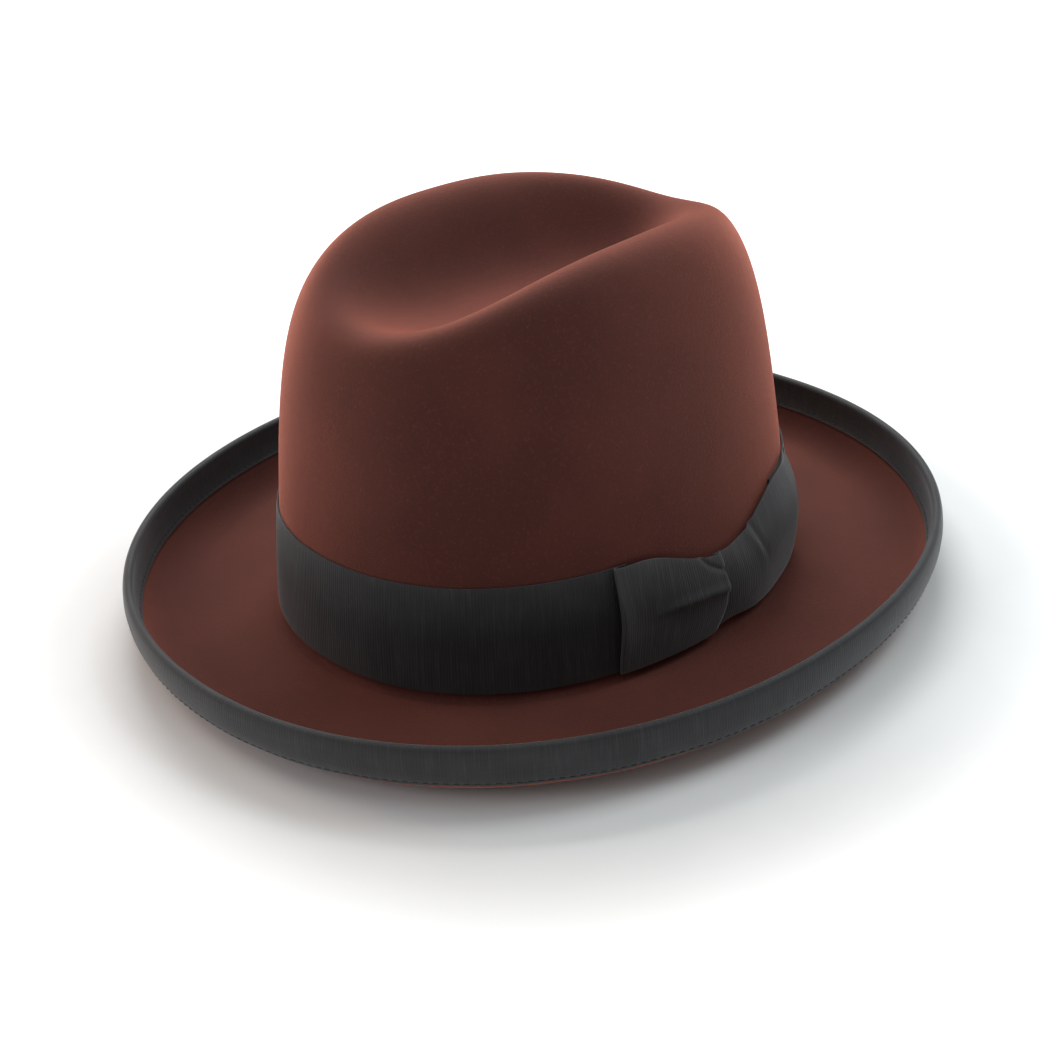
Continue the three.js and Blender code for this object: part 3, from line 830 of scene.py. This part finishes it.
def rear_shape(degrees, height, shares):
    """The rear wing swells between its edges, has one soft fold by the knot and comes down at its far end."""
    swell = 3.5 * MM * np.sin(math.pi * shares**1.05) ** 0.9 * ease((degrees + 8) / 16)
    foot = 0.8 * MM * bell(degrees - 13, 7) * (1 - shares)
    down = 1.2 * MM * ease((degrees - 30) / 10) * (0.3 + shares)
    crease = 13.6 - 0.19 * (height - 25 * MM) / MM
    away = (degrees - crease) * SIDE_DEGREE
    crest = 0.8 * bell(away - 0.5 * MM, 1.4 * MM)
    groove = 0.6 * bell(away + 1.9 * MM, 1.7 * MM)
    fold = (crest - groove) * bell(height - 32 * MM, 7.5 * MM)
    dip = 0.8 * MM * np.clip((5.5 - degrees) / 5.5, 0, 1) ** 2
    return swell + foot - down - fold * MM - dip - 0.3 * MM


def front_waver(height):
    """How many degrees the front wing's free edge strays from upright."""
    return 0.8 * bell(height - 26 * MM, 12 * MM)


def rear_waver(height):
    """The same for the rear wing's."""
    return 0.5 * bell(height - 15 * MM, 8 * MM)


def wing(name, start, end, under_end, widens, shape, waver):
    """Half the bow: its ribbon leaves the knot, turns under at the free end and runs back a little way."""
    way = 1 if end > start else -1
    step = RIB_PITCH / WING_RIB_COLUMNS / SIDE_DEGREE
    shares = even_shares(WING_ROWS, 0.01)
    edge_height = wing_height(end, shares, widens)
    edge = end + waver(edge_height)
    bend = (FOLD_HIGH + shape(edge, edge_height, shares) - FOLD_LOW) / 2
    set_back = FOLD_SET_BACK * np.sin(math.pi * shares)

    # The top layer. The front wing's begins along its roll, the rear wing's upright under it.
    inner = roll_line(wing_height(start, shares, widens)) if way < 0 else start + 0 * shares
    degrees = inner + (edge - inner) * np.linspace(0, 1, round(abs(end - start) / step))
    height = wing_height(degrees, shares, widens)
    parts = [(degrees, height, FOLD_HIGH + shape(degrees, height, shares))]

    # The turn at the free end, which leans back so that the layer below stays out of sight.
    turns = np.linspace(math.pi / 2, -math.pi / 2, 11)[1:-1]
    overhang = bend * np.cos(turns) * (0.75 + 0.45 * np.sin(turns)) - set_back * (1 - np.sin(turns)) / 2
    degrees = edge + way * overhang / SIDE_DEGREE
    parts.append((degrees, edge_height + 0 * degrees, FOLD_LOW + bend * (1 + np.sin(turns))))

    # The layer below, set a little lower than the top one.
    edge = edge - way * set_back / SIDE_DEGREE
    under = np.linspace(0, 1, round(abs(end - under_end) / step))
    degrees = edge + (under_end - edge) * under
    height = wing_height(degrees, shares, widens) - UNDER_DROP * shares * ease(3 * under)
    parts.append((degrees, height, FOLD_LOW + 0 * degrees))

    degrees, height, out = (np.concatenate([part[i] for part in parts], axis=1) for i in range(3))
    centre = wall(np.radians(degrees), height, out)
    if way < 0:
        centre = centre[:, ::-1]
    return cloth_sheet(name, centre, WING_THICK, wing_painted_light_look, ribbed=True)


def front_wing_piece():
    places = (FRONT_START, FRONT_END, FRONT_UNDER_END, FRONT_WIDENS)
    return wing("bow_front_wing_ribbon", *places, front_shape, front_waver)


def rear_wing_piece():
    places = (REAR_START, REAR_END, REAR_UNDER_END, REAR_WIDENS)
    return wing("bow_rear_wing_ribbon", *places, rear_shape, rear_waver)


def knot_piece():
    """A short piece of ribbon over the wings' inner ends, under the front wing's roll."""

    def out(angles, shares):
        return KNOT_OUT + 0.3 * MM * np.sin(math.pi * shares)

    low, high = BAND_FOOT + 1.5 * MM, BAND_FOOT + BAND_WIDTH - WING_PINCH - 2 * MM
    ends = (math.radians(KNOT_FRONT), math.radians(KNOT_BACK))
    return crown_strip("bow_knot_wrap", *ends, low, high, out, KNOT_THICK)


def backing_piece():
    """The tab the wings are sewn to, a degree short of the band's ends."""

    def out(angles, shares):
        return BACKING_OUT + 0 * angles * shares

    start, end = math.radians(BAND_FRONT_END + 1), math.radians(BAND_BACK_END - 1)
    low, high = BAND_FOOT + 1 * MM, BAND_FOOT + BAND_WIDTH - WING_PINCH - 3 * MM
    return crown_strip("bow_backing_tab", start, end, low, high, out, BACKING_THICK)


def sweatband_piece():
    """A leather strip whose ends meet at the back, slack along its top, with two tooled lines there."""
    angles = np.linspace(BACK + JOIN_GAP, BACK + 2 * math.pi - JOIN_GAP, 420)[None, :]
    shares = even_shares(26, 0.01)
    heights = sweat_low.z + (sweat_high.z - sweat_low.z) * shares
    slack = 0.175 * MM * np.sin(7 * angles + 0.8) * ease((shares - 0.5) * 2)
    tooled = 0.12 * MM * (bell(shares - 0.93, 0.012) + bell(shares - 0.9, 0.012))
    centre = wall(angles, heights, LEATHER_OUT - slack + tooled)
    return cloth_sheet("sweatband_leather", centre, LEATHER, leather_look)


def join_tab_piece():
    """The leather tab over the sweatband's join, on the wearer's side."""

    def out(angles, shares):
        return -FELT - LEATHER_SET_IN - LEATHER - 0.65 * MM + 0 * angles * shares

    ends = (BACK - TAB_SPREAD, BACK + TAB_SPREAD)
    heights = (sweat_low.z + 2 * MM, sweat_high.z - 1 * MM)
    look = dict(ribbed=False, material=leather_look)
    return crown_strip("sweatband_join_tab_leather", *ends, *heights, out, TAB_THICK, **look)


def reed_route(angles):
    return wall(angles, REED_HEIGHT, LEATHER_OUT)


def reed_piece():
    """The round reed, its ends a little apart at the back."""
    gap = JOIN_GAP + 0.01
    rod = Mesh()
    angles = np.linspace(BACK + gap, BACK + 2 * math.pi - gap, 300)
    rod.tube(reed_route(angles), REED_RADIUS, 12, closed=False)
    piece = rod.build("sweatband_reed_rod", plastic_look)
    weld(piece)
    return piece


def tape_piece():
    """A narrow tape folded under the reed, both its edges going up to the sweatband's foot."""
    angles = np.linspace(0, 2 * math.pi, 900, endpoint=False)
    rise = sweat_low.z - GAP - REED_HEIGHT
    _, _, normal_x, normal_y = direction(angles)
    rows = []
    for turn, up in [(0.0, rise), *((turn, 0.0) for turn in np.linspace(0, math.pi, 13)), (math.pi, rise)]:
        out, height = TAPE_RADIUS * math.cos(turn), up - TAPE_RADIUS * math.sin(turn)
        rows.append(reed_route(angles) + point(out * normal_x, out * normal_y, height))
    rows.reverse()
    return cloth_sheet("reed_tape_cloth", np.stack(rows), TAPE_THICK, tape_look, wrapped=True)


def sweatband_stitches():
    """A zigzag of thread along the sweatband's foot, on the wearer's side."""
    face = LEATHER_OUT - LEATHER / 2

    def route(angles):
        return wall(angles, sweat_low.z)

    count = 2 * round(route_length(route) / (5 * MM))
    angles, _ = even_angles(route, count)
    heights = sweat_low.z + np.where(np.arange(count) % 2, 0.7 * MM, 2.6 * MM)
    spots = wall(angles, heights, face)
    normals = unit(wall(angles, heights, face - MM) - spots)
    return stitch_row("sweatband_zigzag", spots, np.roll(spots, -1, 0), normals, waxed_look)


def inner_bow_piece():
    """A small flat bow of narrow ribbon: two loops and the loop that pinches them."""
    centre = (inner_bow_low + inner_bow_high) / 2
    half_length = (inner_bow_high.x - inner_bow_low.x) / 2
    half_height = (inner_bow_high.z - inner_bow_low.z) / 2
    bow = Mesh()
    turns = np.linspace(0, 2 * math.pi, 61)[:-1]
    shares = np.linspace(-1, 1, 13)[:, None]
    along = half_length * 0.5 * (1 - np.cos(turns))
    pinch = 0.35 + 0.65 * ease(along / half_length * 1.6)
    y = centre.y + 0.28 * MM * np.sin(turns) * (0.4 + 0.6 * np.sin(turns / 2)) + 0 * shares
    z = centre.z + half_height * pinch * shares
    for side in (-1, 1):
        x = centre.x + side * (0.6 * MM + (along - 0.6 * MM * along / half_length)) + 0 * shares
        loop = point(x, y, z)
        if side > 0:
            loop = loop[:, ::-1]
        normal = unit(np.cross(np.roll(loop, -1, 1) - np.roll(loop, 1, 1), np.gradient(loop, axis=0)))
        thick = 0.06 * MM * normal
        gone = lengths_along(loop)[None, :]
        bow.sheet(loop + thick, loop - thick, wrapped=True, along=gone, across=z, wear=0.4)
    turns = np.linspace(0, 2 * math.pi, 41)[:-1]
    x = centre.x + np.linspace(-1.3, 1.3, 9)[:, None] * MM + 0 * turns
    ring = point(x, centre.y + 0.42 * MM * np.cos(turns), centre.z + 1.7 * MM * np.sin(turns))
    thick = point(0 * x, 0.05 * MM * np.cos(turns), 0.05 * MM * np.sin(turns))
    bow.sheet(ring + thick, ring - thick, wrapped=True, along=turns * MM, across=x, wear=0.5)
    return bow.build("sweatband_bow_loops", ribbon_look)


def lining_out(height):
    """The lining's place behind the sweatband, leaning further in towards its tip."""
    foot = sweat_high.z + 2 * MM
    return -FELT - GAP - SATIN / 2 - LINING_LEAN * ease((height - foot) / (lining_high.z - foot))


def lining_side_piece():
    """Satin hung from the tip and tucked behind the sweatband, with soft folds where it is slack."""
    angles = np.linspace(0, 2 * math.pi, 720, endpoint=False)[None, :]
    shares = np.linspace(0, 1, 60)[:, None]
    heights = lining_low.z + (lining_high.z - lining_low.z) * shares
    slack = np.clip((heights - sweat_high.z) / (lining_high.z - sweat_high.z), 0, 1)
    slack = np.sin(math.pi * slack) ** 0.8
    folds = np.sin(46 * angles + 3 * np.sin(5 * angles)) + 0.6 * np.sin(29 * angles + 1.7 + 2 * shares)
    folds = folds * (0.5 + 0.5 * np.sin(3 * angles + 0.5) ** 2)
    centre = wall(angles, heights, lining_out(heights) - 0.7 * MM * slack * (1 + folds / 1.6))
    return cloth_sheet("lining_side_satin", centre, SATIN, satin_look, wrapped=True)


def lining_tip_piece():
    """The lining's top: an oval of satin that sags, with small gathers all round where it is sewn."""
    angles = np.linspace(0, 2 * math.pi, 600, endpoint=False)[None, :]
    shares = np.linspace(0.0005, 1, 60)[:, None]
    rim = wall(angles, lining_high.z, lining_out(lining_high.z))
    gathers = 0.35 * MM * np.sin(96 * angles + np.sin(7 * angles))
    gathers = gathers * ease((shares - 0.72) / 0.28) * (shares < 0.995)
    height = lining_high.z + GAP + SATIN / 2 - TIP_SAG * (1 - shares**2) + gathers
    centre = point(rim[..., 0] * shares, rim[..., 1] * shares, height)[::-1]
    return cloth_sheet("lining_tip_satin", centre, SATIN, satin_look, wrapped=True)


def piping_piece():
    """A twisted cord that covers the seam between the lining's side and its tip."""

    def route(angles):
        inside = lining_out(lining_high.z) - GAP - 0.8 * MM - SATIN / 2
        return wall(angles, lining_high.z - 1.2 * MM, inside)

    def strands(turns, gone):
        return 0.1 * MM * np.abs(np.cos(1.5 * turns + gone * math.pi / (1.4 * MM))) - 0.05 * MM

    angles, _ = even_angles(route, 1600)
    cord = Mesh()
    cord.tube(route(angles), PIPING_RADIUS, 12, bumps=strands)
    return cord.build("lining_piping_cord", piping_look)


def shield_piece():
    """A clear oval sheet with a slightly wavy lie."""
    middle = (shield_low + shield_high) / 2
    half_x, half_y = (shield_high.x - shield_low.x) / 2, (shield_high.y - shield_low.y) / 2
    angles = np.linspace(0, 2 * math.pi, 160, endpoint=False)[None, :]
    shares = np.linspace(1, 0.0005, 30)[:, None]
    x, y = half_x * shares * np.cos(angles), half_y * shares * np.sin(angles)
    wave = 0.35 * MM * np.sin(2 * angles + 0.6) * shares**2
    centre = point(x, y, middle.z + wave)
    return cloth_sheet("tip_shield_sheet", centre, SHIELD_THICK, clear_look, wrapped=True)


def ticket_piece():
    """A blank card ticket tucked behind the sweatband, bowed a little between its edges."""
    angles = np.radians(np.linspace(*TICKET_ENDS, 40))[None, :]
    shares = np.linspace(0, 1, 16)[:, None]
    heights = ticket_low.z + (ticket_high.z - ticket_low.z) * shares
    centre = wall(angles, heights, -FELT - 0.6 * MM + 0.1 * MM * np.sin(math.pi * shares))
    return cloth_sheet("size_ticket_card", centre, TICKET_THICK, paper_look)


# Each CAD node with the piece that replaces it and its material slot.
made = {
    "felt_body": (felt_piece(), "felt"),
    "brim_binding": (binding_piece(), "grosgrain"),
    "binding_needle_thread": (binding_stitches("binding_outer_stitches", -1), "thread"),
    "binding_bobbin_thread": (binding_stitches("binding_inner_stitches", 1), "thread"),
    "band_ribbon": (band_piece(), "grosgrain"),
    "bow_backing": (backing_piece(), "grosgrain"),
    "bow_front_wing": (front_wing_piece(), "grosgrain"),
    "bow_rear_wing": (rear_wing_piece(), "grosgrain"),
    "bow_knot": (knot_piece(), "grosgrain"),
    "sweatband": (sweatband_piece(), "leather"),
    "sweatband_join_tab": (join_tab_piece(), "leather"),
    "sweatband_reed": (reed_piece(), "reed_plastic"),
    "reed_tape": (tape_piece(), "grosgrain"),
    "sweatband_thread": (sweatband_stitches(), "thread"),
    "sweatband_bow": (inner_bow_piece(), "grosgrain"),
    "lining_side": (lining_side_piece(), "satin"),
    "lining_tip": (lining_tip_piece(), "satin"),
    "lining_piping": (piping_piece(), "satin"),
    "tip_shield": (shield_piece(), "clear_sheet"),
    "size_ticket": (ticket_piece(), "ticket_paper"),
}
for node, (piece, finish) in made.items():
    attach(piece, "root")
    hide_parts(node)

# How each cloth piece is held, and on what.
held_cloth = {
    "brim_binding": ("folded", ["felt_body"]),
    "band_ribbon": ("stretched", ["felt_body"]),
    "bow_backing": ("laid", ["band_ribbon"]),
    "bow_front_wing": ("folded", ["band_ribbon", "bow_backing"]),
    "bow_rear_wing": ("folded", ["band_ribbon", "bow_backing"]),
    "bow_knot": ("folded", ["bow_backing"]),
    "sweatband": ("laid", ["felt_body"]),
    "sweatband_join_tab": ("laid", ["sweatband"]),
    "lining_side": ("hung", ["felt_body"]),
}
for node, (held, rests_on) in held_cloth.items():
    piece = made[node][0]


def make_camera():
    level = Vector((math.cos(AZIMUTH), math.sin(AZIMUTH), 0))
    out = math.cos(ELEVATION)
    back = Vector((math.sin(AZIMUTH) * out, -math.cos(AZIMUTH) * out, math.sin(ELEVATION)))
    up = level.cross(-back)
    right = level * math.cos(ROLL) + up * math.sin(ROLL)
    over = up * math.cos(ROLL) - level * math.sin(ROLL)
    data = bpy.data.cameras.new("camera")
    data.sensor_width = SENSOR_WIDTH
    data.lens = SENSOR_WIDTH * LENS_PER_SENSOR
    data.clip_start, data.clip_end = 0.01, 50
    camera = bpy.data.objects.new("camera", data)
    place = Vector((0, 0, AIM_HEIGHT)) + level * AIM_RIGHT + back * DISTANCE
    camera.matrix_world = Matrix.Translation(place) @ Matrix((right, over, back)).transposed().to_4x4()
    bpy.context.scene.collection.objects.link(camera)
    bpy.context.scene.camera = camera


def make_light(name, azimuth, elevation, distance, size, power, color):
    a, e = math.radians(azimuth), math.radians(elevation)
    away = Vector((math.sin(a) * math.cos(e), -math.cos(a) * math.cos(e), math.sin(e)))
    data = bpy.data.lights.new(name, "AREA")
    data.shape = "RECTANGLE"
    data.size, data.size_y = size
    data.energy = power
    data.color = color
    light = bpy.data.objects.new(name, data)
    light.location = Vector((0, 0, LIGHTS_AIM_HEIGHT)) + away * distance
    light.rotation_mode = "QUATERNION"
    light.rotation_quaternion = away.to_track_quat("Z", "Y")
    bpy.context.scene.collection.objects.link(light)


def make_world():
    world = bpy.data.worlds.new("studio")
    world.use_nodes = True
    background = world.node_tree.nodes["Background"]
    background.inputs["Color"].default_value = (*WHITE, 1)
    background.inputs["Strength"].default_value = 0.25
    bpy.context.scene.world = world


def make_floor():
    """Pale paper that glows white outside the hat's own shadow, as painted light."""
    s = Surface("paper_floor_painted_glow")
    fibre = s.noise(s.place(), 30, 3.0)
    color = s.mix(s.ramp(fibre, 0.3, 0.7), (0.90, 0.90, 0.90, 1), (0.915, 0.915, 0.915, 1))
    s.set(Base_Color=color, Roughness=s.ramp(fibre, 0.3, 0.7, 0.9, 0.96), Specular_IOR_Level=0.0)
    # Painted light: the floor glows more than 0.17 m from the middle, which brightens it to white outside the
    # hat's shadow.
    away = s.node("VectorMath", {0: s.place()}, operation="LENGTH").outputs["Value"]
    s.set(Emission_Color=(*WHITE, 1), Emission_Strength=s.ramp(away, 0.17, 0.23, 0.0, 0.42))
    corners = [(x * FLOOR_REACH, y * FLOOR_REACH, 0) for x, y in ((-1, -1), (1, -1), (1, 1), (-1, 1))]
    mesh = bpy.data.meshes.new("floor")
    mesh.from_pydata(corners, [], [(0, 1, 2, 3)])
    mesh.materials.append(s.material)
    floor = bpy.data.objects.new("floor", mesh)
    floor.location.z = cad_low.z - FLOOR_GAP
    bpy.context.scene.collection.objects.link(floor)


make_camera()
make_world()
make_floor()
for name, settings in LIGHTS.items():
    make_light(name, *settings)
bpy.context.scene.view_settings.view_transform = "Standard"
